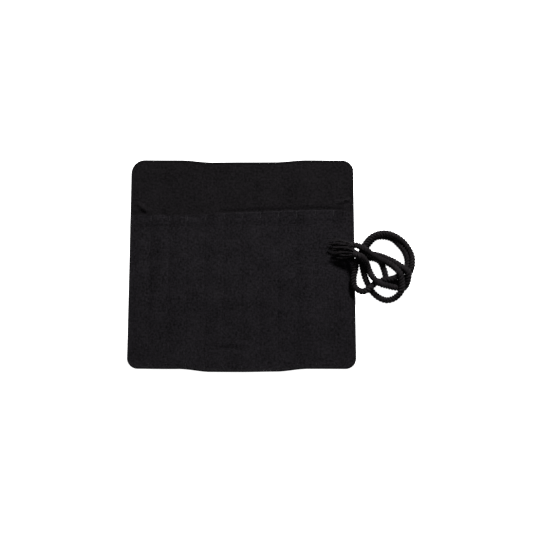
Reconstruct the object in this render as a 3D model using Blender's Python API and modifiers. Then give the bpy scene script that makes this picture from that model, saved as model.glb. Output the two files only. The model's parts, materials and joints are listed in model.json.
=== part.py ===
"""Brush roll case: a cloth case with twelve brush pockets, a fold-over flap and a doubled tie cord.

It lies open and flat on a table. X runs along the width, from the free end at -X to the tie end
at +X. Y runs up the pockets towards their mouths, Z is up, and Z = 0 is the table.

The cloth is cut at the lines of divider stitching, which are its hinges: each strip holds one
pocket, and the tie end holds the last two. Every strip turns about the stitch line on its right,
so the case rolls up from the free end. Above the mouths a strip carries its share of the flap,
which turns about the fold line. Lengths are in metres.
"""

import math

import bmesh
import bpy
from mathutils import Vector

MM = 0.001

# Driving dimensions of the case
POCKET_COUNT = 12
POCKET_PITCH = 19.5 * MM
SIDE_SEAM = 3.0 * MM
CASE_LENGTH = 225.0 * MM
CORNER_RADIUS = 12.0 * MM
POCKET_DEPTH = 170.0 * MM
FOLD_ABOVE_MOUTH = 24.0 * MM
TIE_END_POCKETS = 2

# Cloth and clearances
CANVAS_THICKNESS = 0.7 * MM
PLY_GAP = 0.3 * MM
HINGE_GAP = 0.3 * MM

# Pocket fronts
POCKET_RISE = 4.7 * MM
POCKET_EDGE_CLEARANCE = 0.75 * MM
POCKET_FLANGE = 0.7 * MM
POCKET_SQUARENESS = 2.5
BOTTOM_SEAM = 4.0 * MM
POCKET_RAMP = 42.0 * MM
ARCH_SEGMENTS = 14
DEPTH_SEGMENTS = 9

# Flap strips narrow towards their free edge, so that they clear each other in the roll
FLAP_BASE_INSET = 1.0 * MM
FLAP_END_INSET = 5.8 * MM

# Tie cord
CORD_DIAMETER = 5.7 * MM
CORD_TUBE_STEP = 9.4 * MM
SEAM_EDGE_ON_ROUTES = 120.0 * MM
CORD_TUBE_SIDES = 2
TUFT_GAP = 0.3 * MM
TUFT_PROFILE = ((0.0, 0.8), (0.18, 1.0), (0.55, 1.2), (0.85, 1.1), (1.0, 0.7))

# Routes of the two halves of the cord, in millimetres, from the side seam to the frayed end
UPPER_CORD_ROUTE = (
    (121, -2, 3), (129.5, 0.5, 3), (139, 3, 3), (147, -0.5, 3), (151, -9, 3), (153.5, -18, 3),
    (161.5, -22.5, 3), (170, -19.5, 3), (176.5, -12.5, 6.5), (180, -4.5, 6.5), (180.5, 5, 5.5),
    (177.5, 13.5, 5), (172, 21, 6), (164.5, 26.5, 7.5), (156, 30, 8.5), (146.5, 30, 9), (138, 26.5, 9),
    (131.5, 20, 9), (127, 11.5, 9), (125, 2.5, 9.5), (125, -6.5, 8), (127.5, -15.5, 5), (132, -23.5, 3.5),
    (137.5, -31, 3), (144.5, -37.5, 3), (153, -40.5, 3.5), (161.5, -38, 6), (166.5, -31, 11), (167, -22, 12),
    (165, -13, 13), (160.5, -5.5, 9), (152.5, -0.5, 8.5), (144, 2.5, 11.5), (136.5, 6, 17.5), (129, 11.5, 19.5),
    (121, 16, 14), (112.5, 18, 12), (103, 19, 12.5),
)
LOWER_CORD_ROUTE = (
    (121.2, 9, 3), (128.5, 10.5, 3), (134, 19, 3), (141.5, 26.5, 3), (150.5, 28, 3), (159.5, 25, 3),
    (166.5, 19, 3), (172, 11.5, 3), (175, 2.5, 3), (173.5, -6.5, 4), (167.5, -13.5, 5.5), (160, -18, 8.5),
    (151, -19.5, 9), (142, -22, 6.5), (135, -28, 9.5), (127, -32, 9.5), (119, -27.5, 10), (116.5, -18.5, 10.5),
    (118, -9.5, 12), (121, -0.5, 14.5), (127.5, 6, 15.5), (135.5, 8, 9.5), (144.5, 7, 6.5), (153, 4.5, 4.5),
    (161.5, 0.5, 5.5), (169, -4, 9), (175, -11, 13), (176, -19.5, 10), (171.5, -27, 5), (162.5, -27.5, 6.5),
    (153.5, -26, 9), (145, -24, 13), (139, -17, 11.5), (135, -9, 10.5), (130.5, -2, 15.5), (124.5, 3, 23.5),
    (116.5, 6.5, 17), (109, 8.5, 13.5),
)
UPPER_TUFT_TIP = (91.5, 20, 13)
LOWER_TUFT_TIP = (96.5, 9.5, 14)

# What follows from them
CASE_WIDTH = POCKET_COUNT * POCKET_PITCH + 2 * SIDE_SEAM
LEFT = -CASE_WIDTH / 2
BOTTOM = -CASE_LENGTH / 2
TOP = CASE_LENGTH / 2
MOUTH = BOTTOM + POCKET_DEPTH
FOLD = MOUTH + FOLD_ABOVE_MOUTH
LINING_BASE = CANVAS_THICKNESS + PLY_GAP
LINING_TOP = LINING_BASE + CANVAS_THICKNESS
POCKET_BASE = LINING_TOP + PLY_GAP
MOVING_PANELS = POCKET_COUNT - TIE_END_POCKETS
CORD_RADIUS = CORD_DIAMETER / 2


def clear_scene():
    for obj in list(bpy.data.objects):
        bpy.data.objects.remove(obj, do_unlink=True)


def make_collection(name):
    collection = bpy.data.collections.new(name)
    bpy.context.scene.collection.children.link(collection)
    return collection


def make_material(name, colour, roughness):
    material = bpy.data.materials.new(name)
    material.use_nodes = True
    shader = material.node_tree.nodes["Principled BSDF"]
    shader.inputs["Base Color"].default_value = (*colour, 1.0)
    shader.inputs["Roughness"].default_value = roughness
    shader.inputs["Metallic"].default_value = 0.0
    return material


def stitch_line(number):
    """X of a line of divider stitching: 0 is the free end's side seam."""
    return LEFT + SIDE_SEAM + number * POCKET_PITCH


def put(obj, collection, parent, place):
    """Links the object and hangs it on its parent, with its origin at a place in the world."""
    collection.objects.link(obj)
    if parent:
        obj.parent = parent
        place = Vector(place) - world_place(parent)
    obj.location = place


def world_place(obj):
    place = Vector(obj.location)
    while obj.parent:
        obj = obj.parent
        place += obj.location
    return place


def corner_points(centre, first_angle, segments=6):
    """Points of a quarter turn of the case's corner radius, anticlockwise."""
    points = []
    for step in range(segments + 1):
        angle = first_angle + math.pi / 2 * step / segments
        points.append((
            centre[0] + CORNER_RADIUS * math.cos(angle),
            centre[1] + CORNER_RADIUS * math.sin(angle),
        ))
    return points


def cut_sheet(name, outline, base, material, layers=1):
    """A flat piece of cloth from its outline in the XY plane, lying on height base."""
    thickness = layers * CANVAS_THICKNESS + (layers - 1) * PLY_GAP
    curve = bpy.data.curves.new(name, "CURVE")
    curve.dimensions = "2D"
    curve.fill_mode = "BOTH"
    curve.extrude = thickness / 2
    spline = curve.splines.new("POLY")
    spline.points.add(len(outline) - 1)
    for point, (x, y) in zip(spline.points, outline):
        point.co = (x, y, base + thickness / 2, 1.0)
    spline.use_cyclic_u = True
    curve.materials.append(material)
    return bpy.data.objects.new(name, curve)


def panel_outline(x_low, x_high, origin):
    """Outline of a strip below the fold line, round at the case's own bottom corners."""
    y_high = FOLD - HINGE_GAP / 2
    outline = [(x_high, y_high), (x_low, y_high)]
    if x_low <= LEFT:
        outline += corner_points((LEFT + CORNER_RADIUS, BOTTOM + CORNER_RADIUS), math.pi)
    else:
        outline.append((x_low, BOTTOM))
    if x_high >= -LEFT:
        outline += corner_points((-LEFT - CORNER_RADIUS, BOTTOM + CORNER_RADIUS), 1.5 * math.pi)
    else:
        outline.append((x_high, BOTTOM))
    return [(x - origin[0], y - origin[1]) for x, y in outline]


def flap_outline(x_low, x_high, origin):
    """Outline of a flap strip: it narrows beside each hinge and is round at the case's corners."""
    y_low = FOLD + HINGE_GAP / 2
    if x_high >= -LEFT:
        outline = [(x_high, y_low)]
        outline += corner_points((-LEFT - CORNER_RADIUS, TOP - CORNER_RADIUS), 0.0)
    else:
        outline = [(x_high - FLAP_BASE_INSET, y_low), (x_high - FLAP_END_INSET, TOP)]
    if x_low <= LEFT:
        outline += corner_points((LEFT + CORNER_RADIUS, TOP - CORNER_RADIUS), math.pi / 2)
        outline.append((x_low, y_low))
    else:
        outline += [(x_low + FLAP_END_INSET, TOP), (x_low + FLAP_BASE_INSET, y_low)]
    return [(x - origin[0], y - origin[1]) for x, y in outline]


def bottom_edge(x):
    """Y of the case's bottom edge at x, lifted inside the round corners."""
    inside = max(abs(x) - (-LEFT - CORNER_RADIUS), 0.0)
    return BOTTOM + CORNER_RADIUS - math.sqrt(CORNER_RADIUS**2 - min(inside, CORNER_RADIUS) ** 2)


def pocket_rise(above_bottom):
    """Height of a pocket's crown above its feet, from flat at the seam to full at the mouth."""
    share = min(max((above_bottom - BOTTOM_SEAM) / POCKET_RAMP, 0.0), 1.0)
    return POCKET_RISE * share * share * (3 - 2 * share)


def pocket_front(name, number, origin, material):
    """The cloth arch of one pocket, with a narrow flange along each divider."""
    centre = stitch_line(number + 0.5)
    reach = POCKET_PITCH / 2 - POCKET_EDGE_CLEARANCE
    left_edge = LEFT if number == 0 else centre - reach
    right_edge = -LEFT if number == POCKET_COUNT - 1 else centre + reach
    half_arch = reach - POCKET_FLANGE
    columns = ARCH_SEGMENTS + 2

    cloth = bmesh.new()
    bmesh.ops.create_grid(cloth, x_segments=columns, y_segments=DEPTH_SEGMENTS, size=0.5)
    for vert in cloth.verts:
        column = round((vert.co.x + 0.5) * columns)
        share = vert.co.y + 0.5
        angle = math.pi * (1 - (column - 1) / ARCH_SEGMENTS)
        if column == 0:
            x, lift = left_edge, 0.0
        elif column == columns:
            x, lift = right_edge, 0.0
        else:
            power = 2 / POCKET_SQUARENESS
            x = centre + half_arch * math.copysign(abs(math.cos(angle)) ** power, math.cos(angle))
            lift = abs(math.sin(angle)) ** power
        # rows lie closer together near the bottom seam, where the arch flattens
        up = share**1.6
        y = bottom_edge(x) + (MOUTH - bottom_edge(x)) * up
        z = POCKET_BASE + CANVAS_THICKNESS / 2 + pocket_rise(y - BOTTOM) * lift
        vert.co = Vector((x, y, z)) - Vector(origin)
    mesh = bpy.data.meshes.new(name)
    cloth.to_mesh(mesh)
    cloth.free()
    mesh.materials.append(material)
    obj = bpy.data.objects.new(name, mesh)
    solidify = obj.modifiers.new("Cloth thickness", "SOLIDIFY")
    solidify.thickness = CANVAS_THICKNESS
    solidify.offset = 0.0
    solidify.use_even_offset = True
    return obj


def smooth_route(route, step):
    """Points a step apart on a smooth curve through the route, no lower than the table."""
    points = [Vector(point) * MM for point in route]
    ends = [2 * points[0] - points[1], *points, 2 * points[-1] - points[-2]]
    fine = []
    for before, start, end, after in zip(ends, ends[1:], ends[2:], ends[3:]):
        for part in range(12):
            t = part / 12
            fine.append(
                0.5 * (2 * start + (end - before) * t
                       + (2 * before - 5 * start + 4 * end - after) * t**2
                       + (3 * start - before - 3 * end + after) * t**3)
            )
    fine.append(points[-1])
    for point in fine:
        point.z = max(point.z, CORD_RADIUS)
    lengths = [0.0]
    for start, end in zip(fine, fine[1:]):
        lengths.append(lengths[-1] + (end - start).length)
    count = round(lengths[-1] / step)
    spaced, index = [], 0
    for number in range(count + 1):
        wanted = lengths[-1] * number / count
        while index < len(fine) - 2 and lengths[index + 1] < wanted:
            index += 1
        share = (wanted - lengths[index]) / (lengths[index + 1] - lengths[index])
        spaced.append(fine[index].lerp(fine[index + 1], share))
    return spaced


def tube(name, points, radii, material):
    """A round tube with filled ends along the points, with a radius at each."""
    curve = bpy.data.curves.new(name, "CURVE")
    curve.dimensions = "3D"
    curve.bevel_depth = CORD_RADIUS
    curve.bevel_resolution = CORD_TUBE_SIDES
    curve.use_fill_caps = True
    spline = curve.splines.new("POLY")
    spline.points.add(len(points) - 1)
    for point, place, radius in zip(spline.points, points, radii):
        point.co = (*place, 1.0)
        point.radius = radius
    curve.materials.append(material)
    return bpy.data.objects.new(name, curve)


def tie_cord(name, route, material):
    points = smooth_route(route, CORD_TUBE_STEP)
    return tube(name, points, [1.0] * len(points), material)


def frayed_tuft(name, route, tip, material):
    """The frayed end of a cord: it swells past the last turn of the lay and thins to its tip."""
    end, before = (Vector(point) * MM for point in (route[-1], route[-2]))
    tip = Vector(tip) * MM
    heading = (end - before).normalized()
    start = end + heading * TUFT_GAP
    middle = start + heading * (tip - start).length / 2
    points = []
    for share, _ in TUFT_PROFILE:
        points.append(start.lerp(middle, share).lerp(middle.lerp(tip, share), share))
    return tube(name, points, [radius for _, radius in TUFT_PROFILE], material)


def make_panel(collection, materials, number, parent):
    """One strip of the case: number counts from the free end, and the last is the tie end."""
    fixed = number == MOVING_PANELS
    label = "tie_end" if fixed else f"{number + 1:02d}"
    left_line, right_line = stitch_line(number), stitch_line(number + 1)
    x_low = LEFT if number == 0 else left_line + HINGE_GAP / 2
    x_high = -LEFT if fixed else right_line - HINGE_GAP / 2
    origin = (0.0, 0.0, LINING_TOP) if fixed else (right_line, 0.0, LINING_TOP)
    turning = bpy.data.objects.new(f"panel_{label}_hinge", None)
    put(turning, collection, parent, origin)

    outline = panel_outline(x_low, x_high, origin)
    for name, base, material in (
        ("outer_canvas", 0.0, materials["canvas"]),
        ("lining", LINING_BASE, materials["canvas"]),
    ):
        sheet = cut_sheet(f"{name}_{label}", outline, base - origin[2], material)
        put(sheet, collection, turning, origin)

    fold_origin = (origin[0], FOLD, LINING_TOP)
    folding = bpy.data.objects.new(f"flap_{label}_fold", None)
    put(folding, collection, turning, fold_origin)
    flap = cut_sheet(
        f"flap_{label}",
        flap_outline(x_low, x_high, fold_origin),
        -fold_origin[2],
        materials["canvas"],
        layers=2,
    )
    put(flap, collection, folding, fold_origin)

    pockets = range(number, POCKET_COUNT) if fixed else (number,)
    for pocket in pockets:
        front = pocket_front(f"pocket_front_{pocket + 1:02d}", pocket, origin, materials["pocket"])
        put(front, collection, turning, origin)
    return turning


def make_tie(collection, materials, parent):
    # the routes are drawn beside a case of the nominal width, and follow its side seam
    shift = (CASE_WIDTH / 2 - SEAM_EDGE_ON_ROUTES) / MM
    for label, route, tip in (
        ("upper", UPPER_CORD_ROUTE, UPPER_TUFT_TIP),
        ("lower", LOWER_CORD_ROUTE, LOWER_TUFT_TIP),
    ):
        route = [(x + shift, y, z) for x, y, z in route]
        tip = (tip[0] + shift, *tip[1:])
        cord = tie_cord(f"tie_cord_{label}", route, materials["cord"])
        put(cord, collection, None, (0.0, 0.0, 0.0))
        tuft = frayed_tuft(f"tie_tuft_{label}", route, tip, materials["cord"])
        put(tuft, collection, None, (0.0, 0.0, 0.0))
        for piece in (cord, tuft):
            piece.parent = parent
            piece.location = -world_place(parent)


def main():
    clear_scene()
    collection = make_collection("Brush roll case")
    materials = {
        "canvas": make_material("Black cotton canvas", (0.0098, 0.0086, 0.0098), 0.92),
        "pocket": make_material("Black cotton twill", (0.0116, 0.0103, 0.0119), 0.90),
        "cord": make_material("Black cotton cord", (0.0180, 0.0160, 0.0165), 0.88),
    }
    turning = None
    for number in range(MOVING_PANELS, -1, -1):
        turning = make_panel(collection, materials, number, turning)
        if number == MOVING_PANELS:
            make_tie(collection, materials, turning)


main()
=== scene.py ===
"""Brush roll case in black cotton canvas, with its stitching and its twisted cotton tie.

X runs across the case, Y up the pockets towards the flap, Z up from the table, in metres.
The cloth is worked out flat, as smooth functions of X and Y. It is then cut into flat pieces
around the lines of stitching between pockets, where the case bends, and at the fold of the flap.
"""

import json
import math

import bmesh
import bpy
import numpy as np
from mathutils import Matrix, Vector


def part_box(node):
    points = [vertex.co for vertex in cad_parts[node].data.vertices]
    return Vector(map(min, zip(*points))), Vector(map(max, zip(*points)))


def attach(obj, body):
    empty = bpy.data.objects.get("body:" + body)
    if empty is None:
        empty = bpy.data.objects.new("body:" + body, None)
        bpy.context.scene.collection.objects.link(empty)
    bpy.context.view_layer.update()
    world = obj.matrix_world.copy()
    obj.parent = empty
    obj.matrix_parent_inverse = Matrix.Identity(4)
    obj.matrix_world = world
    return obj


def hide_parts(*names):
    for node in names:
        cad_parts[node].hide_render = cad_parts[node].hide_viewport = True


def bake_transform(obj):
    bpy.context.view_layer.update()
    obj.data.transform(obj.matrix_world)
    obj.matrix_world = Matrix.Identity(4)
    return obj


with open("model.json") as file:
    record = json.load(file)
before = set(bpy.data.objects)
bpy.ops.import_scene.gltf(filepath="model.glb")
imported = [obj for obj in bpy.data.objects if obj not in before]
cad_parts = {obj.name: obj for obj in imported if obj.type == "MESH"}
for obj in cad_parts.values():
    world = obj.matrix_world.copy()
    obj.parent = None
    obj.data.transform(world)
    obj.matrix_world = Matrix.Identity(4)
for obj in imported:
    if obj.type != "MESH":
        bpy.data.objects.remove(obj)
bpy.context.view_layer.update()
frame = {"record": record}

MM = 0.001

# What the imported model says
HINGES = {joint["name"]: joint for joint in frame["record"]["behaviour"]["joints"]}
ROLL_LINES = sorted(
    joint["pos_m"][0] for name, joint in HINGES.items() if name.startswith("roll_")
)
PITCH = ROLL_LINES[1] - ROLL_LINES[0]
DIVIDERS = [*ROLL_LINES, ROLL_LINES[-1] + PITCH]
FOLD = HINGES["flap_fold_tie_end"]["pos_m"][1]
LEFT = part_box("outer_canvas_01")[0][0]
RIGHT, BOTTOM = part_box("outer_canvas_tie_end")[1][0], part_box("outer_canvas_tie_end")[0][1]
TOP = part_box("flap_tie_end")[1][1]
PANELS = [f"panel_{number + 1:02d}" for number in range(len(ROLL_LINES))] + ["tie_end"]
LABELS = [body[-2:] if body != "tie_end" else body for body in PANELS]
POCKETS = len(DIVIDERS) + 1
TIGHT_DIVIDERS = (DIVIDERS[0], DIVIDERS[3])  # sewn tighter than the rest, so they show as grooves
FIRST_SEAM = DIVIDERS[0] - PITCH

# Cloth
BACK_THICKNESS = 1.5 * MM
PANEL_THICKNESS = 0.75 * MM
HEM_THICKNESS = 1.35 * MM
HEM_DEPTH = 9.0 * MM
THREAD_SPACING = 0.55 * MM
TURNED_EDGE = 0.9 * MM
TABLE_GAP = 0.8 * MM  # from the table to the middle of the back's two plies
UPPER_CORNER_RADII = (14.5, 12.0)  # left and right, in millimetres
LOWER_CORNER_RADII = (11.5, 11.5)
CORNER_REACH = 28 * MM  # how far down its column a corner's rounding is eased out
PANEL_INSET = 0.35 * MM
FLAP_OVERLAP = 4.6 * MM  # the flap's cloth runs this far below the fold line

# How finely the cloth is drawn
COLUMNS_PER_POCKET = 14
COLUMN_STEP = PITCH / COLUMNS_PER_POCKET
ROW_STEP = 1.5 * MM
EDGE_STEPS = np.array([0.0, 0.1, 0.3, 0.6, 1.0, 1.6, 2.2, 3.0, 3.9]) * MM
SAME_POINT = 0.004 * MM

# Stitching: spacing, length, width and height of one stitch, or of one turn of thread in a bar tack
SEAM_INSET = 3.0 * MM
LOCK_STITCH = (2.9 * MM, 2.2 * MM, 0.42 * MM, 0.3 * MM)
BAR_TACK_STITCH = (0.42 * MM, 0.40 * MM, 1.15 * MM, 0.42 * MM)
MOUTH_TACK_LENGTH = 6.2 * MM
FOOT_TACK_SPAN = (3.2 * MM, 6.2 * MM)

# Cord
CORD_DIAMETER = 6.7 * MM
CORD_LAY = 9.6 * MM
CORD_STEP = 0.55 * MM
CORD_SIDES = 30
STRANDS = 3
STRAND_OFFSET, STRAND_RADIUS = 0.38, 0.645  # in cord radii
YARNS_ROUND_CORD = 16
TUFT_YARNS = 17
YARN_SIDES = 8
YARN_TUCK = 2.4 * MM  # how far a loose yarn starts inside the cord
YARN_SAG = 2.6 * MM

# Routes of the two halves of the cord, in millimetres, from the side seam to the frayed end
UPPER_CORD_ROUTE = (
    (121, 2, 3), (130, 4, 3), (139, 4.5, 3), (147, 0.5, 3), (151, -9, 3),
    (153.5, -18, 3), (161.5, -22.5, 3), (170, -19.5, 3), (176.5, -12.5, 6.5), (180, -4.5, 6.5),
    (180.5, 5, 5.5), (177.5, 13.5, 5), (172, 21, 6), (164.5, 26.5, 7.5), (156, 30, 8.5),
    (146.5, 30, 9), (138, 26.5, 9), (131.5, 20, 9), (127, 11.5, 9), (126, 2.5, 9.5),
    (127.5, -6.5, 8), (130, -15.5, 5), (133.5, -23.5, 3.5), (137.5, -31, 3), (144.5, -37.5, 3),
    (153, -40.5, 3.5), (161.5, -38, 6), (167.5, -31, 11), (168, -22, 12), (166, -13, 13),
    (160.5, -5.5, 9), (152.5, -0.5, 8.5), (144, 2.5, 11.5), (136.5, 6, 17.5), (129, 11.5, 19.5),
    (122, 16, 15), (116, 17, 13),
)
LOWER_CORD_ROUTE = (
    (121.2, 9, 3), (128.5, 10.5, 3), (134, 19, 3), (141.5, 26.5, 3), (150.5, 28, 3),
    (160, 25.6, 3), (167, 19.5, 3), (172.8, 12, 3), (175.8, 2.5, 3), (174.5, -6, 4),
    (167.5, -13.5, 5.5), (160, -18, 8.5), (151, -19.5, 9), (142, -22, 6.5), (135, -28, 9.5),
    (127, -32, 9.5), (119, -27.5, 10), (117.5, -18.5, 11), (119.3, -9.5, 12), (121, -0.5, 14.5),
    (127.5, 6, 15.5), (135.5, 8, 9.5), (144.5, 7, 6.5), (153, 4.5, 4.5), (161.5, 0.5, 5.5),
    (168.3, -5, 9), (174.3, -11, 13), (174.8, -19.5, 10), (171.5, -27, 5), (162.5, -27.5, 6.5),
    (153.5, -26, 9), (145, -24, 13), (137.8, -17, 11.5), (133.8, -9, 10.5), (130.5, -2, 15.5),
    (124.5, 3, 23.5), (118, 6.5, 18),
)
UPPER_TUFT_TIP = (91.5, 20, 12)
LOWER_TUFT_TIP = (96.5, 9.5, 12.5)


# ---------------------------------------------------------------- camera, light and table

CAMERA_TARGET = Vector((26.0, -3.8, 0.0)) * MM
CAMERA_ELEVATION = math.radians(80.5)
CAMERA_DISTANCE = 1.0
CAMERA_LENS = 63.4
CAMERA_SENSOR = 36.0
TABLE_HALF_WIDTH = 4.0


def link(obj):
    """Puts a new object in the scene."""
    bpy.context.scene.collection.objects.link(obj)
    return obj


def add_camera():
    """A camera that looks down on the case from its lower edge."""
    data = bpy.data.cameras.new("camera")
    data.lens = CAMERA_LENS
    data.sensor_width = CAMERA_SENSOR
    camera = link(bpy.data.objects.new("camera", data))
    back = Vector((0, -math.cos(CAMERA_ELEVATION), math.sin(CAMERA_ELEVATION)))
    camera.location = CAMERA_TARGET + back * CAMERA_DISTANCE
    camera.rotation_euler = (math.pi / 2 - CAMERA_ELEVATION, 0, 0)
    bpy.context.scene.camera = camera


def add_softbox(name, place, target, size, power):
    """A square white light turned towards a target."""
    data = bpy.data.lights.new(name, "AREA")
    data.shape = "SQUARE"
    data.size = size
    data.energy = power
    light = link(bpy.data.objects.new(name, data))
    light.location = place
    light.rotation_euler = (Vector(target) - Vector(place)).to_track_quat("-Z", "Y").to_euler()


def light_scene():
    """A key light beyond the flap, whose shadows fall towards the lower edge, and a soft fill."""
    add_softbox("key softbox", place=(0.36, 1.12, 1.08), target=(0.03, 0, 0), size=0.3, power=58)
    add_softbox("overhead softbox", place=(-0.1, -0.1, 1.8), target=(0, 0, 0), size=1.6, power=3)
    world = bpy.data.worlds.new("studio")
    world.use_nodes = True
    background = world.node_tree.nodes["Background"]
    background.inputs["Color"].default_value = (1, 1, 1, 1)
    background.inputs["Strength"].default_value = 0.10
    bpy.context.scene.world = world
    bpy.context.scene.view_settings.view_transform = "Standard"


# ---------------------------------------------------------------- materials


def srgb(code):
    """A #rrggbb colour as linear red, green, blue and alpha."""
    parts = [int(code[start:start + 2], 16) / 255 for start in (1, 3, 5)]
    return (*[p / 12.92 if p <= 0.04045 else ((p + 0.055) / 1.055) ** 2.4 for p in parts], 1.0)


def add_node(tree, kind, links=None, **settings):
    """A node with its settings; links gives each input a value or another node's output."""
    made = tree.nodes.new(kind)
    for name, value in settings.items():
        setattr(made, name, value)
    for key, value in (links or {}).items():
        if isinstance(value, bpy.types.NodeSocket):
            tree.links.new(value, made.inputs[key])
        else:
            made.inputs[key].default_value = value
    return made


def new_material(name, roughness, specular, sheen=0.0, tint="#ffffff", sheen_roughness=0.5):
    """A material, its tree and its shader, with the constants set on the shader."""
    material = bpy.data.materials.new(name)
    material.use_nodes = True
    shader = material.node_tree.nodes["Principled BSDF"]
    shader.inputs["Roughness"].default_value = roughness
    shader.inputs["Specular IOR Level"].default_value = specular
    shader.inputs["Sheen Weight"].default_value = sheen
    shader.inputs["Sheen Roughness"].default_value = sheen_roughness
    shader.inputs["Sheen Tint"].default_value = srgb(tint)
    return material, material.node_tree, shader


def math_node(tree, operation, first, second=0.5):
    """One step of arithmetic; a sine or an absolute value takes no notice of the second value."""
    return add_node(tree, "ShaderNodeMath", {0: first, 1: second}, operation=operation).outputs[0]


def weighted(tree, first, share, second, other_share):
    """Two values, each times its share, added up."""
    first = math_node(tree, "MULTIPLY", first, share)
    second = math_node(tree, "MULTIPLY", second, other_share)
    return math_node(tree, "ADD", first, second)


def noise_of(tree, coords, scale, detail=2.0, stretch=(1, 1, 1)):
    """Noise at a scale in features per metre, stretched along the cloth's axes."""
    placed = add_node(tree, "ShaderNodeMapping", {"Vector": coords, "Scale": stretch})
    noise = add_node(
        tree, "ShaderNodeTexNoise",
        {"Vector": placed.outputs[0], "Scale": scale, "Detail": detail, "Roughness": 0.6},
    )
    return noise.outputs["Fac"]


def remap(tree, value, low, high, to_low, to_high):
    """A value stretched from one range to another and held inside it."""
    links = {"Value": value, "From Min": low, "From Max": high, "To Min": to_low, "To Max": to_high}
    return add_node(tree, "ShaderNodeMapRange", links).outputs[0]


def mix_colours(tree, factor, first, second):
    """Two colours mixed by a factor."""
    links = {0: factor, 6: srgb(first), 7: srgb(second)}
    return add_node(tree, "ShaderNodeMix", links, data_type="RGBA", clamp_factor=True).outputs[2]


def canvas_material(name, shade, pale, seed):
    """Plain-woven cotton canvas, dyed black: a dull face with a dusty bloom of loose fibre.

    Its threads lie 0.55 mm apart, too fine to part at arm's length. There it shows as a grain,
    from threads that run thick and thin, so that unevenness is drawn a little stronger.
    """
    material, tree, shader = new_material(name, 0.95, 0.03, 0.006, "#8d888c", 0.6)
    coords = add_node(tree, "ShaderNodeUVMap", uv_map="cloth").outputs[0]
    placed = {"Vector": coords, "Location": (seed, seed, 0)}
    coords = add_node(tree, "ShaderNodeMapping", placed).outputs[0]
    threads = add_node(tree, "ShaderNodeSeparateXYZ", {0: coords})
    turns = math.pi / THREAD_SPACING
    across, along = (
        math_node(tree, "SINE", math_node(tree, "MULTIPLY", threads.outputs[axis], turns))
        for axis in (0, 1)
    )
    crossing = math_node(tree, "MULTIPLY", across, along)
    weave = math_node(tree, "POWER", math_node(tree, "ABSOLUTE", crossing), 0.6)

    warp = noise_of(tree, coords, 1 / (1.5 * MM), 3.0, (1.0, 0.22, 1.0))
    weft = noise_of(tree, coords, 1 / (1.3 * MM), 3.0, (0.22, 1.0, 1.0))
    grain = weighted(tree, warp, 0.5, weft, 0.5)
    bloom = noise_of(tree, coords, 1 / (22 * MM), 3.0)
    lint = remap(tree, noise_of(tree, coords, 1 / (0.9 * MM), 1.0), 0.66, 0.80, 0.0, 0.8)

    slub = remap(tree, noise_of(tree, coords, 1 / (2.1 * MM), 3.0), 0.34, 0.66, 0.0, 1.0)
    tone = weighted(tree, remap(tree, grain, 0.36, 0.64, 0.12, 0.88), 0.45, slub, 0.58)
    tone = math_node(tree, "ADD", tone, remap(tree, bloom, 0.3, 0.7, -0.12, 0.12))
    tone = math_node(tree, "ADD", tone, lint)
    # painted shade: the colour is darker in the hollows between the woven threads and paler on
    # their crowns
    tone = math_node(tree, "MULTIPLY", tone, remap(tree, weave, 0.0, 1.0, 0.5, 1.2))
    colour = mix_colours(tree, tone, shade, pale)
    tree.links.new(colour, shader.inputs["Base Color"])

    crinkle = noise_of(tree, coords, 1 / (3.2 * MM), 2.0)
    rise = weighted(tree, weave, 0.5, grain, 1.3)
    rise = math_node(tree, "ADD", rise, math_node(tree, "MULTIPLY", crinkle, 0.8))
    relief = {"Height": rise, "Strength": 0.55, "Distance": 0.22 * MM}
    bump = add_node(tree, "ShaderNodeBump", relief)
    tree.links.new(bump.outputs[0], shader.inputs["Normal"])
    return material


def thread_material():
    """Spun polyester sewing thread, black: smoother than the canvas, so it catches more light."""
    material, tree, shader = new_material("polyester sewing thread", 0.6, 0.06)
    coords = add_node(tree, "ShaderNodeTexCoord").outputs["Object"]
    fleck = noise_of(tree, coords, 1 / (0.8 * MM))
    tree.links.new(mix_colours(tree, fleck, "#050505", "#0e0d0e"), shader.inputs["Base Color"])
    return material


def bar_tack_material():
    """The same thread packed close in a bar tack, where its shine is painted in as a paler bar."""
    material, tree, shader = new_material("polyester thread in bar tacks", 0.5, 0.1)
    coords = add_node(tree, "ShaderNodeTexCoord").outputs["Object"]
    # painted sheen: the base colour is paler than the plain thread's, and the slow noise paints the
    # shine stronger on some tacks than on others
    fleck = noise_of(tree, coords, 1 / (24 * MM))
    tree.links.new(mix_colours(tree, fleck, "#0b0a0b", "#2a282b"), shader.inputs["Base Color"])
    return material


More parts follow.
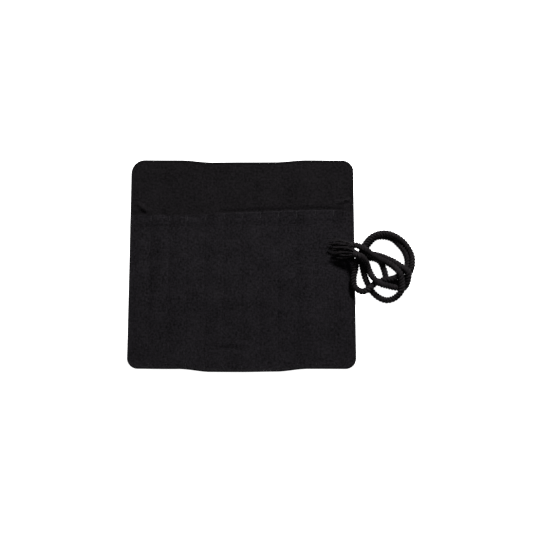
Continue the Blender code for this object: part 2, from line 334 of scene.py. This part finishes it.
def cord_material():
    """Soft cotton rope yarn, dyed black and washed a little brown, with fibres standing off it."""
    material, tree, shader = new_material("twisted cotton cord", 0.9, 0.05, 0.012, "#8c837e", 0.5)
    coords = add_node(tree, "ShaderNodeUVMap", uv_map="yarn").outputs[0]
    parts = add_node(tree, "ShaderNodeSeparateXYZ", {0: coords})
    # each yarn runs along the cord and rounds over in one wave of the sine
    turns = 2 * math.pi * YARNS_ROUND_CORD
    yarns = math_node(tree, "SINE", math_node(tree, "MULTIPLY", parts.outputs[0], turns))
    wear = noise_of(tree, coords, 1.0, 3.0, (14, 420, 1))
    fade = noise_of(tree, add_node(tree, "ShaderNodeTexCoord").outputs["Object"], 1 / (14 * MM))
    # painted shade: each yarn is drawn darker where it rounds down into the groove beside the next
    tone = remap(tree, yarns, -1, 1, 0.25, 1.0)
    tone = math_node(tree, "MULTIPLY", tone, remap(tree, wear, 0.3, 0.7, 0.35, 1.1))
    tone = math_node(tree, "MULTIPLY", tone, remap(tree, fade, 0.3, 0.7, 0.7, 1.25))
    tree.links.new(mix_colours(tree, tone, "#010101", "#242123"), shader.inputs["Base Color"])
    rise = math_node(tree, "ADD", math_node(tree, "MULTIPLY", yarns, 0.35), wear)
    relief = {"Height": rise, "Strength": 0.6, "Distance": 0.3 * MM}
    bump = add_node(tree, "ShaderNodeBump", relief)
    tree.links.new(bump.outputs[0], shader.inputs["Normal"])
    return material


def table_material():
    """Matt white acrylic sheet, lit from below so that shadows on it stay pale."""
    material, tree, shader = new_material("white light table", 0.6, 0.3)
    coords = add_node(tree, "ShaderNodeTexCoord").outputs["Object"]
    haze = noise_of(tree, coords, 3.0)
    tree.links.new(mix_colours(tree, haze, "#f4f4f4", "#f8f8f8"), shader.inputs["Base Color"])
    shader.inputs["Emission Color"].default_value = (1, 1, 1, 1)
    shader.inputs["Emission Strength"].default_value = 1.0
    return material


def add_table():
    """The flat table under the case."""
    half = TABLE_HALF_WIDTH
    mesh = bpy.data.meshes.new("table")
    corners = [(-half, -half, 0), (half, -half, 0), (half, half, 0), (-half, half, 0)]
    mesh.from_pydata(corners, [], [(0, 1, 2, 3)])
    mesh.materials.append(table_material())
    link(bpy.data.objects.new("table", mesh))


# ---------------------------------------------------------------- the shape of the cloth


def ease(value):
    """0 below 0, 1 above 1 and a smooth step between."""
    value = np.clip(value, 0.0, 1.0)
    return value * value * (3 - 2 * value)


def bell(value, width):
    """1 at 0, falling away smoothly on both sides."""
    return np.exp(-((value / width) ** 2))


def slow_noise(x, y, size, seed):
    """Smooth random heights from -1 to 1, with features of a given size."""
    grid = np.random.default_rng(seed).uniform(-1, 1, (64, 64))
    u, v = x / size + 31.0, y / size + 31.0
    i, j = np.floor(u).astype(int), np.floor(v).astype(int)
    s, t = ease(u - i), ease(v - j)
    low = grid[i % 64, j % 64] * (1 - s) + grid[(i + 1) % 64, j % 64] * s
    high = grid[i % 64, (j + 1) % 64] * (1 - s) + grid[(i + 1) % 64, (j + 1) % 64] * s
    return low * (1 - t) + high * t


def corner_radius(x, upper):
    """The radius of the nearer corner at x: every corner was turned by hand."""
    left, right = UPPER_CORNER_RADII if upper else LOWER_CORNER_RADII
    return np.where(x < 0, left, right) * MM


def corner_drop(x, upper):
    """How far the round corner draws the outline in at x."""
    radius = corner_radius(x, upper)
    inside = np.clip(radius - np.minimum(x - LEFT, RIGHT - x), 0.0, radius)
    return radius - np.sqrt(radius**2 - inside**2)


def edge_distance(x, y):
    """How far inside the case's outline a point of the flat cloth lies."""
    radius = np.where(y > 0, corner_radius(x, True), corner_radius(x, False))
    across = np.abs(x) - (RIGHT - radius)
    along = np.abs(y) - (TOP - radius)
    outside = np.hypot(np.maximum(across, 0), np.maximum(along, 0))
    return radius - outside - np.minimum(np.maximum(across, along), 0)


def drift(x, y):
    """The middle of the case lies a little further down the table than its sides."""
    middle = 1 - ease((np.abs(x - 2 * MM) - 34 * MM) / (34 * MM))
    wander = 0.35 * MM * slow_noise(x, y, 38 * MM, 5)
    return -(2.7 * MM - 1.05 * MM * y / (TOP - BOTTOM)) * middle + wander


def mouth_line(x):
    """Y of the pockets' mouths, which dip on the left and climb to the right."""
    places = np.array([-120, -100, -48, -21, 18, 65, 91, 108, 120]) * MM
    levels = np.array([51.4, 51.3, 51.4, 53.4, 54.8, 56.5, 57.2, 55.7, 54.0]) * MM
    smooth = np.interp(x, places, levels)
    for shift in (-9 * MM, -5 * MM, 5 * MM, 9 * MM):
        smooth = smooth + np.interp(np.clip(x + shift, LEFT, RIGHT), places, levels)
    return smooth / 5 - drift(x, 56 * MM)


def ridge(x, y, start, end, width, height):
    """A wrinkle from one point to another, given in millimetres, that fades at its ends."""
    start, end = np.array(start) * MM, np.array(end) * MM
    run = end - start
    length = float(np.hypot(*run))
    along = ((x - start[0]) * run[0] + (y - start[1]) * run[1]) / length
    off = ((x - start[0]) * run[1] - (y - start[1]) * run[0]) / length
    fade = ease(along / (0.35 * length) + 0.3) * ease((length - along) / (0.35 * length) + 0.3)
    return height * MM * bell(off, width * MM) * fade


def lift(x, y):
    """How far the whole cloth stands off the table."""
    rise = 0.55 * MM * (1 + slow_noise(x, y, 62 * MM, 11))
    rise += 0.22 * MM * (1 + slow_noise(x, y, 27 * MM, 12))
    edge = 0.7 + 0.3 * slow_noise(x, y, 45 * MM, 13)
    rise += 0.9 * MM * np.exp(-(y - BOTTOM) / (7 * MM)) * edge
    rise += 0.5 * MM * np.exp(-(TOP - y) / (9 * MM)) * (1 + slow_noise(x, y, 50 * MM, 14))
    return rise


# Wrinkles, each with its start, end, width and height in millimetres; a hollow's height is negative
FLAP_CREASES = (
    ((-112.5, 64.5), (-101, 54.5), 1.8, 3.0),  # the pucker at the left side seam
    ((-116, 56.5), (-104, 59), 2.2, 0.9),
    ((102, 64.5), (116, 69.5), 1.7, 2.4),  # the pucker at the right side seam
    ((96, 62), (117, 61), 2.6, 0.4),
    ((-42, 108), (-40, 62), 2.6, -0.6),
    ((-34, 106), (-33, 62), 4.0, 0.22),
    ((34, 100), (72, 92), 4.5, -0.3),
    ((-104, 96), (-70, 101), 3.4, 0.3),
)
PANEL_CREASES = (
    ((-28, -82), (8, -84), 1.9, 0.6),
    ((-30, -87), (2, -90), 1.9, -0.55),
    ((-60, -18), (-18, -8), 4.2, 0.25),
    ((20, -26), (64, -12), 4.6, 0.28),
    ((62, -6), (96, -12), 2.4, 0.25),
    ((-101, 50), (-99, -30), 2.6, -0.5),
    ((-98, 50.5), (-46, 50.5), 1.7, -0.9),
)


def creases(x, y, wrinkles):
    """The height of all the wrinkles together."""
    return sum(ridge(x, y, *wrinkle) for wrinkle in wrinkles)


def flap_wrinkles(x, y):
    """Puckers at both side seams, soft folds, and a hollow behind the mouths."""
    along = ease((x + 30 * MM) / (12 * MM)) * ease((112 * MM - x) / (8 * MM))
    hollow = 1.5 * MM * bell(y - mouth_line(x) - 1.0 * MM, 2.6 * MM) * along
    return creases(x, y, FLAP_CREASES) - hollow


def turned_over(inside, reach):
    """How full a cloth's thickness is near its edge: 0 at the edge, round, and 1 past the reach."""
    return np.sqrt(1 - (1 - np.minimum(inside / reach, 1.0)) ** 2)


def back_heights(x, y):
    """Top and bottom of the two plies of the back, which thin out to a turned edge."""
    inside = np.maximum(edge_distance(x, y), 0.0)
    turn = turned_over(inside, TURNED_EDGE)
    half = BACK_THICKNESS / 2 * turn
    middle = TABLE_GAP + lift(x, y)
    bare = ease((y - mouth_line(x) + 1.5 * MM) / (3 * MM))
    seam = 0.28 * MM * bell(inside - 1.5 * MM, 1.1 * MM)
    seam = seam - 0.22 * MM * bell(inside - SEAM_INSET, 0.55 * MM)
    top = middle + half + (seam + flap_wrinkles(x, y)) * turn * bare
    return top, middle - half


def pocket_fullness(x, y):
    """How far a pocket's cloth stands up between its two lines of stitching."""
    place = (x - FIRST_SEAM) / PITCH
    number = np.clip(np.floor(place), 0, POCKETS - 1).astype(int)
    share = np.clip(place - number, 0.0, 1.0)
    arch = 1 - np.abs(2 * share - 1) ** 2.3
    fullness = np.random.default_rng(21).uniform(0.75, 1.45, POCKETS) * MM
    up = ease((y - BOTTOM - 5 * MM) / (60 * MM))
    waver = 1 + 0.45 * slow_noise(x, y, 36 * MM, 22)
    rise = fullness[number] * arch * up * waver
    start = ease((y - BOTTOM - 3 * MM) / (3 * MM))
    for line in DIVIDERS:
        groove = 0.34 if line in TIGHT_DIVIDERS else 0.16
        rise = rise - groove * MM * bell(x - line, 1.0 * MM) * start
    return rise


def panel_heights(x, y):
    """Top and bottom of the pocket panel, with its hem folded under along the mouths."""
    from_mouth = np.maximum(mouth_line(x) - y, 0.0)
    inside = np.maximum(edge_distance(x, y) - PANEL_INSET, 0.0)
    below_hem = ease((from_mouth - HEM_DEPTH) / (4.0 * MM))
    thickness = HEM_THICKNESS + (PANEL_THICKNESS - HEM_THICKNESS) * below_hem
    turn = turned_over(np.minimum(inside / (0.5 * MM), from_mouth / (0.7 * MM)), 1.0)
    base = back_heights(x, y)[0] + 0.06 * MM
    seam = 0.25 * MM * bell(inside - 1.3 * MM, 1.0 * MM)
    seam = seam - 0.22 * MM * bell(inside - 2.7 * MM, 0.5 * MM)
    held = ease((inside - 2.6 * MM) / (6 * MM))
    loose = np.maximum(pocket_fullness(x, y) * held, -0.2 * MM)
    loose = loose + creases(x, y, PANEL_CREASES) * held
    lip = 0.9 * MM * np.exp(-from_mouth / (3.5 * MM)) * held
    middle = base + thickness / 2 + seam + loose + lip
    return middle + thickness / 2 * turn, middle - thickness / 2 * turn


# ---------------------------------------------------------------- cloth pieces


def columns_between(low, high):
    """X of a piece's columns: close together at the case's sides, and even between dividers."""
    close = EDGE_STEPS[:-1]
    steps = [LEFT + step for step in close] + [RIGHT - step for step in close]
    steps += [FIRST_SEAM + COLUMN_STEP * n for n in range(1, POCKETS * COLUMNS_PER_POCKET)]
    steps = sorted(step for step in steps if low - 1e-7 <= step <= high + 1e-7)
    kept = [steps[0]]
    for step in steps[1:]:
        if step - kept[-1] > 0.08 * MM:
            kept.append(step)
    return np.array(kept)


def face_outwards(mesh, merge_within=None):
    """Turns every face outwards, after merging points that lie together."""
    work = bmesh.new()
    work.from_mesh(mesh)
    if merge_within:
        bmesh.ops.remove_doubles(work, verts=work.verts, dist=merge_within)
    bmesh.ops.recalc_face_normals(work, faces=work.faces)
    work.to_mesh(mesh)
    work.free()


def shell(name, x, y, top, bottom, material):
    """A closed piece of cloth from grids of its plan and of its two faces' heights."""
    rows, cols = x.shape
    count = rows * cols
    points = np.concatenate([np.stack([x, y, z], -1).reshape(-1, 3) for z in (top, bottom)])
    index = np.arange(count).reshape(rows, cols)
    a, b, c, d = index[:-1, :-1], index[:-1, 1:], index[1:, 1:], index[1:, :-1]
    faces = np.stack([a, b, c, d], -1).reshape(-1, 4).tolist()
    faces += (np.stack([a, d, c, b], -1).reshape(-1, 4) + count).tolist()
    ring = [*index[0, :], *index[1:, -1], *index[-1, -2::-1], *index[-2:0:-1, 0]]
    ring = [int(number) for number in ring]
    faces += [(q, p, p + count, q + count) for p, q in zip(ring, ring[1:] + ring[:1])]
    mesh = bpy.data.meshes.new(name)
    mesh.from_pydata(points.tolist(), [], faces)
    face_outwards(mesh, merge_within=SAME_POINT)
    finish_cloth(mesh, material)
    return link(bpy.data.objects.new(name, mesh))


def finish_cloth(mesh, material):
    """Smooth shading up to the cut edges, the material, and a map of the flat cloth in metres."""
    mesh.materials.append(material)
    mesh.polygons.foreach_set("use_smooth", [True] * len(mesh.polygons))
    mesh.set_sharp_from_angle(angle=math.radians(70))
    plan = mesh.uv_layers.new(name="cloth")
    where = np.empty(len(mesh.vertices) * 3)
    mesh.vertices.foreach_get("co", where)
    corner = np.empty(len(mesh.loops), int)
    mesh.loops.foreach_get("vertex_index", corner)
    plan.data.foreach_set("uv", where.reshape(-1, 3)[corner][:, :2].ravel())


def rows_of(low, high, close_low, close_high):
    """Y of the rows of a flat piece, close together at an edge that is turned."""
    first = BOTTOM + EDGE_STEPS if close_low else np.array([low])
    last = TOP - EDGE_STEPS[::-1] if close_high else np.array([high])
    count = max(2, round((last[0] - first[-1]) / ROW_STEP))
    return np.concatenate([first[:-1], np.linspace(first[-1], last[0], count + 1), last[1:]])


def plain_cloth(name, low_x, high_x, rows, material):
    """A piece of the back between two columns."""
    x, y = np.meshgrid(columns_between(low_x, high_x), rows)
    y = (y + corner_drop(x, False) * np.clip(1 - (y - BOTTOM) / CORNER_REACH, 0, 1)
         - corner_drop(x, True) * np.clip(1 - (TOP - y) / CORNER_REACH, 0, 1))
    top, bottom = back_heights(x, y)
    return shell(name, x, y + drift(x, y), top, bottom, material)


def panel_cloth(name, low_x, high_x, material):
    """A piece of the pocket panel between two columns, from the bottom seam to the mouth."""
    x = np.clip(columns_between(low_x, high_x), LEFT + PANEL_INSET, RIGHT - PANEL_INSET)
    x = x[np.diff(x, append=math.inf) > 0.02 * MM]
    low = BOTTOM + PANEL_INSET + corner_drop(x, False)
    high = mouth_line(x)
    count = round((high.max() - BOTTOM) / ROW_STEP)
    start, end = EDGE_STEPS, EDGE_STEPS[::-1]
    inner = np.linspace(0, 1, count)[1:-1, None]
    first, last = low[None, :] + start[:, None], high[None, :] - end[:, None]
    y = np.concatenate([first, first[-1] + (last[0] - first[-1]) * inner, last])
    x = np.broadcast_to(x, y.shape)
    top, bottom = panel_heights(x, y)
    return shell(name, x, y + drift(x, y), top, bottom, material)


# ---------------------------------------------------------------- stitching


def stitch_tree():
    """Geometry Nodes tree that lays stitches along the edges of a mesh."""
    tree = bpy.data.node_groups.new("stitches", "GeometryNodeTree")
    sockets = [
        ("Seam", "NodeSocketGeometry"), ("Stitch spacing", "NodeSocketFloat"),
        ("Stitch length", "NodeSocketFloat"), ("Stitch width", "NodeSocketFloat"),
        ("Stitch height", "NodeSocketFloat"), ("Thread", "NodeSocketMaterial"),
    ]
    for name, kind in sockets:
        tree.interface.new_socket(name, in_out="INPUT", socket_type=kind)
    tree.interface.new_socket("Stitches", in_out="OUTPUT", socket_type="NodeSocketGeometry")
    given = add_node(tree, "NodeGroupInput").outputs
    line = add_node(tree, "GeometryNodeMeshToCurve", {"Mesh": given["Seam"]})
    points = add_node(
        tree, "GeometryNodeCurveToPoints",
        {"Curve": line.outputs[0], "Length": given["Stitch spacing"]}, mode="LENGTH",
    )
    turned = add_node(
        tree, "FunctionNodeAlignRotationToVector", {"Vector": points.outputs["Tangent"]},
        axis="X", pivot_axis="Z",
    )
    size = add_node(
        tree, "ShaderNodeCombineXYZ",
        {0: given["Stitch length"], 1: given["Stitch width"], 2: given["Stitch height"]},
    )
    stitch = add_node(tree, "GeometryNodeMeshUVSphere", {"Segments": 8, "Rings": 5, "Radius": 0.5})
    placed = add_node(
        tree, "GeometryNodeInstanceOnPoints",
        {"Points": points.outputs["Points"], "Instance": stitch.outputs[0],
         "Rotation": turned.outputs[0], "Scale": size.outputs[0]},
    )
    real = add_node(tree, "GeometryNodeRealizeInstances", {0: placed.outputs[0]})
    smooth = add_node(tree, "GeometryNodeSetShadeSmooth", {"Geometry": real.outputs[0]})
    dressed = add_node(
        tree, "GeometryNodeSetMaterial",
        {"Geometry": smooth.outputs[0], "Material": given["Thread"]},
    )
    add_node(tree, "NodeGroupOutput", {0: dressed.outputs[0]})
    return tree


def sew(name, tree, lines, stitch, thread):
    """Stitches along lines of points, as one plain mesh."""
    points, edges = [], []
    for line in lines:
        edges += [(len(points) + n, len(points) + n + 1) for n in range(len(line) - 1)]
        points += [tuple(point) for point in line]
    seam = bpy.data.meshes.new(name + " seam")
    seam.from_pydata(points, edges, [])
    guide = link(bpy.data.objects.new(name + " seam", seam))
    modifier = guide.modifiers.new("Stitches", "NODES")
    modifier.node_group = tree
    sizes = (f"Stitch {size}" for size in ("spacing", "length", "width", "height"))
    values = {**dict(zip(sizes, stitch)), "Thread": thread}
    for item in tree.interface.items_tree:
        if item.in_out == "INPUT" and item.name in values:
            modifier[item.identifier] = values[item.name]
    bpy.context.view_layer.update()
    evaluated = guide.evaluated_get(bpy.context.evaluated_depsgraph_get())
    made = bpy.data.meshes.new_from_object(evaluated)
    made.name = name
    bpy.data.objects.remove(guide, do_unlink=True)
    return link(bpy.data.objects.new(name, made))


def on_cloth(x, y, heights, raise_by=0.05 * MM):
    """Points on a cloth's upper face, moved as the cloth is."""
    x, y = np.broadcast_arrays(np.asarray(x, float), np.asarray(y, float))
    return np.stack([x, y + drift(x, y), heights(x, y)[0] + raise_by], -1)


def outline_run(low_x, high_x, upper):
    """The seam along the upper or lower edge and round its corners, between two columns."""
    low_x, high_x = max(low_x, LEFT + SEAM_INSET), min(high_x, RIGHT - SEAM_INSET)
    x = np.clip(np.arange(low_x, high_x + 0.4 * MM, 0.8 * MM), low_x, high_x)
    radius = corner_radius(x, upper) - SEAM_INSET
    side = np.minimum(x - LEFT, RIGHT - x) - SEAM_INSET
    dip = np.clip(radius - side, 0.0, radius)
    drop = radius - np.sqrt(np.maximum(radius**2 - dip**2, 0.0))
    return x, TOP - SEAM_INSET - drop if upper else BOTTOM + SEAM_INSET + drop


def upright_run(x, low_y, high_y):
    """A straight row up the case."""
    y = np.arange(low_y, high_y, 1.0 * MM)
    return np.full(y.shape, x), y


def side_seams(first, last):
    """X of the side seams that a piece holds."""
    return [LEFT + SEAM_INSET] * first + [RIGHT - SEAM_INSET] * last


# ---------------------------------------------------------------- cord


def smooth_route(route, step):
    """Points a step apart on a smooth curve through the route, no lower than the table."""
    points = np.array(route, float) * MM
    ends = np.vstack([2 * points[0] - points[1], points, 2 * points[-1] - points[-2]])
    t = (np.arange(12) / 12)[:, None]
    fine = []
    for before, start, end, after in zip(ends, ends[1:], ends[2:], ends[3:]):
        bend = (2 * before - 5 * start + 4 * end - after) * t**2
        swing = (3 * start - before - 3 * end + after) * t**3
        fine.append(0.5 * (2 * start + (end - before) * t + bend + swing))
    fine = np.vstack([*fine, points[-1:]])
    fine[:, 2] = np.maximum(fine[:, 2], CORD_DIAMETER / 2)
    return respace(fine, step)


def lengths_along(points):
    """How far along the line each point lies."""
    return np.concatenate([[0], np.cumsum(np.linalg.norm(np.diff(points, axis=0), axis=1))])


def respace(points, step):
    """The same line with points a step apart."""
    lengths = lengths_along(points)
    wanted = np.linspace(0, lengths[-1], max(3, round(lengths[-1] / step) + 1))
    return np.stack([np.interp(wanted, lengths, points[:, axis]) for axis in range(3)], -1)


def frames_along(points):
    """Two unit vectors across the line at each point, carried along it without a twist."""
    heading = np.gradient(points, axis=0)
    heading /= np.linalg.norm(heading, axis=1)[:, None]
    side = np.cross(heading[0], (0, 0, 1.0))
    side /= np.linalg.norm(side)
    sides = []
    for way in heading:
        side = side - way * side.dot(way)
        side /= np.linalg.norm(side)
        sides.append(side)
    sides = np.array(sides)
    return sides, np.cross(heading, sides)


def rings_round(points, reach, angles):
    """A ring of points round the line at each of its points."""
    side, up = frames_along(points)
    return (points[:, None, :] + side[:, None, :] * (reach * np.cos(angles))[..., None]
            + up[:, None, :] * (reach * np.sin(angles))[..., None])


def tube_mesh(rings, turns, run):
    """Points, faces and yarn map of a closed tube through rings of points."""
    count, around = rings.shape[:2]
    points = [tuple(p) for p in rings.reshape(-1, 3)]
    faces, places = [], []
    for ring in range(count - 1):
        for spot in range(around):
            after = (spot + 1) % around
            faces.append((ring * around + spot, ring * around + after,
                          (ring + 1) * around + after, (ring + 1) * around + spot))
            u, w = turns[ring][spot], turns[ring][spot] + 1 / around
            places += [(u, run[ring]), (w, run[ring]), (w, run[ring + 1]), (u, run[ring + 1])]
    for ring, order in ((0, -1), (count - 1, 1)):
        middle = len(points)
        points.append(tuple(rings[ring].mean(axis=0)))
        for spot in range(around):
            pair = (ring * around + spot, ring * around + (spot + 1) % around)[::order]
            faces.append((*pair, middle))
            places += [(0.0, run[ring])] * 3
    return points, faces, places


def yarn_object(name, parts, material):
    """One object from several tubes."""
    points, faces, places = [], [], []
    for part_points, part_faces, part_places in parts:
        faces += [tuple(number + len(points) for number in face) for face in part_faces]
        points += part_points
        places += part_places
    mesh = bpy.data.meshes.new(name)
    mesh.from_pydata(points, [], faces)
    mesh.uv_layers.new(name="yarn").data.foreach_set("uv", np.array(places).ravel())
    mesh.materials.append(material)
    face_outwards(mesh)
    mesh.polygons.foreach_set("use_smooth", [True] * len(mesh.polygons))
    return link(bpy.data.objects.new(name, mesh))


def strand_profile(angle):
    """Distance from the cord's middle to its surface, in cord radii, round its strands."""
    half = math.pi / STRANDS
    near = (angle + half) % (2 * half) - half
    sideways = STRAND_OFFSET * np.sin(near)
    return STRAND_OFFSET * np.cos(near) + np.sqrt(STRAND_RADIUS**2 - sideways**2)


def twisted_cord(name, points, radii, material):
    """A twisted cord along the points."""
    run = lengths_along(points)
    angle = np.arange(CORD_SIDES) / CORD_SIDES * 2 * math.pi
    turned = angle[None, :] + 2 * math.pi * run[:, None] / CORD_LAY
    reach = strand_profile(angle)[None, :] * radii[:, None]
    # the yarns in each strand stand a little proud, in waves that never line up
    reach = reach * (1 + 0.035 * np.sin(9.1 * turned + 37 * run[:, None] / CORD_LAY))
    tube = tube_mesh(rings_round(points, reach, turned), turned / (2 * math.pi), run)
    return yarn_object(name, [tube], material)


def frayed_end(name, points, tip, seed, material):
    """The cord's end, where the strands have opened into loose yarns of uneven length."""
    rng = np.random.default_rng(seed)
    end = points[-1]
    heading = points[-1] - points[-5]
    heading /= np.linalg.norm(heading)
    side = np.cross(heading, (0, 0, 1.0))
    side /= np.linalg.norm(side)
    up = np.cross(side, heading)
    tip = np.array(tip) * MM
    reach = np.linalg.norm(tip - end)
    start = end - heading * YARN_TUCK
    towards = (tip - start) / np.linalg.norm(tip - start)
    t = np.linspace(0, 1, 18)
    spots = np.arange(YARN_SIDES) / YARN_SIDES * 2 * math.pi
    parts = []
    for number in range(TUFT_YARNS):
        angle = 2 * math.pi * (number / TUFT_YARNS + rng.uniform(-0.04, 0.04))
        off = rng.uniform(0.35, 0.85) * CORD_DIAMETER / 2
        length = reach * rng.uniform(0.72, 1.1)
        spread = rng.uniform(1.2, 2.6)
        curl, swing = rng.uniform(-1.5, 1.5) * MM, rng.uniform(0, 2 * math.pi)
        # the yarn leaves along the cord and bends over towards the tip
        middle = start + heading * (length + YARN_TUCK) * 0.45
        goal = start + towards * (length + YARN_TUCK)
        path = (1 - t)[:, None] ** 2 * start + 2 * (t * (1 - t))[:, None] * middle
        path = path + (t**2)[:, None] * goal
        # it fans out from the others, curls and sags
        turn = angle + t * rng.uniform(0.2, 0.9)
        fan = off * (1 + (spread - 1) * ease(t * 1.6))
        path = path + side * (np.cos(turn) * fan * 1.25)[:, None]
        path = path + up * (np.sin(turn) * fan * 0.8)[:, None]
        path += side * (curl * np.sin(t * 5 + swing) * t)[:, None]
        path[:, 2] -= YARN_SAG * t**2
        path = respace(path, 0.9 * MM)
        share = np.linspace(0, 1, len(path))
        radii = rng.uniform(0.6, 0.9) * MM * (1 - 0.35 * share)
        radii = radii * np.sqrt(np.clip((1.02 - share) * 9, 0.05, 1))
        rings = rings_round(path, radii[:, None], spots)
        places = spots / (2 * math.pi) / 4 + rng.uniform()
        turns = np.broadcast_to(places, (len(path), YARN_SIDES))
        parts.append(tube_mesh(rings, turns, share * length))
    return yarn_object(name, parts, material)


def add_tie(label, route, tip, seed, material):
    """One half of the tie, from inside the side seam to its frayed end."""
    points = smooth_route(route, CORD_STEP)
    sewn_in = points[0] + np.array([(-3.6, 0, -1.7), (-1.8, 0, -0.9)]) * MM
    points = respace(np.vstack([sewn_in, points]), CORD_STEP)
    run = np.linspace(0, 1, len(points))
    length = float(np.linalg.norm(np.diff(points, axis=0), axis=1).sum())
    # it is pressed thin in the seam and swells to its full thickness outside it
    radii = CORD_DIAMETER / 2 * (0.3 + 0.7 * ease(run * length / (6 * MM)))
    cord = twisted_cord(f"tie_cord_{label}_twisted", points, radii, material)
    tuft = frayed_end(f"tie_tuft_{label}_yarns", points, tip, seed, material)
    for piece, node in ((cord, f"tie_cord_{label}"), (tuft, f"tie_tuft_{label}")):
        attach(piece, "tie_end")
        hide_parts(node)


# ---------------------------------------------------------------- putting it together


def add_cell(number, tree, canvas, panel, thread, tack):
    """The cloth from the middle of one pocket to the middle of the next, laid flat across the
    divider.
    """
    last = number == len(ROLL_LINES) - 1
    line = ROLL_LINES[number]
    low = LEFT if number == 0 else line - PITCH / 2
    high = RIGHT if last else line + PITCH / 2
    label = f"{LABELS[number]}_{LABELS[number + 1]}"

    rows = rows_of(BOTTOM, FOLD - FLAP_OVERLAP, True, False)
    back = plain_cloth(f"back_cloth_{label}", low, high, rows, canvas)
    front = panel_cloth(f"pocket_panel_{label}", low, high, panel)

    seams, tacks = [on_cloth(*outline_run(low, high, False), panel_heights)], []
    foot = [BOTTOM + step for step in FOOT_TACK_SPAN]
    for x in DIVIDERS[number:] if last else [line]:
        top = float(mouth_line(np.array(x)))
        row = upright_run(x, BOTTOM + SEAM_INSET + 1 * MM, top - 6 * MM)
        seams.append(on_cloth(*row, panel_heights))
        row = upright_run(x, top - MOUTH_TACK_LENGTH, top - 0.2 * MM)
        tacks.append(on_cloth(*row, panel_heights, 0.10 * MM))
        tacks.append(on_cloth(*upright_run(x, *foot), panel_heights, 0.02 * MM))
    for x in side_seams(number == 0, last):
        top = float(mouth_line(np.array(x)))
        seams.append(on_cloth(*upright_run(x, BOTTOM + 12 * MM, top), panel_heights))
        seams.append(on_cloth(*upright_run(x, top, FOLD - FLAP_OVERLAP), back_heights))
    stitches = sew(f"stitches_{label}", tree, seams, LOCK_STITCH, thread)
    bars = sew(f"bar_tacks_{label}", tree, tacks, BAR_TACK_STITCH, tack)

    for piece in (back, front, stitches, bars):
        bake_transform(piece)
    names = [LABELS[number]] + (["tie_end"] if last else [])
    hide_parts(*[f"{part}_{name}" for part in ("outer_canvas", "lining") for name in names])
    fronts = range(number + 1, POCKETS + 1) if last else [number + 1]
    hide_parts(*[f"pocket_front_{pocket:02d}" for pocket in fronts])


def add_flap(number, tree, canvas, thread):
    """One pocket's width of the flap, laid flat; on the case it folds over the mouths."""
    last = number == len(ROLL_LINES)
    low = LEFT if number == 0 else ROLL_LINES[number - 1]
    high = RIGHT if last else ROLL_LINES[number]
    label = LABELS[number]
    rows = rows_of(FOLD - FLAP_OVERLAP, TOP, False, True)
    cloth = plain_cloth(f"flap_cloth_{label}", low, high, rows, canvas)
    seams = [on_cloth(*outline_run(low, high, True), back_heights)]
    for x in side_seams(number == 0, last):
        row = upright_run(x, FOLD - FLAP_OVERLAP, TOP - 13 * MM)
        seams.append(on_cloth(*row, back_heights))
    stitches = sew(f"flap_stitches_{label}", tree, seams, LOCK_STITCH, thread)
    for piece in (cloth, stitches):
        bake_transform(piece)
    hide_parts(f"flap_{label}")


add_camera()
cord_cotton = cord_material()
add_tie("upper", UPPER_CORD_ROUTE, UPPER_TUFT_TIP, 3, cord_cotton)
add_tie("lower", LOWER_CORD_ROUTE, LOWER_TUFT_TIP, 4, cord_cotton)

light_scene()
add_table()
stitching = stitch_tree()
back_canvas = canvas_material("black cotton canvas", "#010101", "#1a181a", 0.0)
panel_canvas = canvas_material("black cotton canvas, pockets", "#010101", "#1f1d20", 0.37)
sewing_thread = thread_material()
tack_thread = bar_tack_material()
for cell in range(len(ROLL_LINES)):
    add_cell(cell, stitching, back_canvas, panel_canvas, sewing_thread, tack_thread)
for strip in range(len(PANELS)):
    add_flap(strip, stitching, back_canvas, sewing_thread)
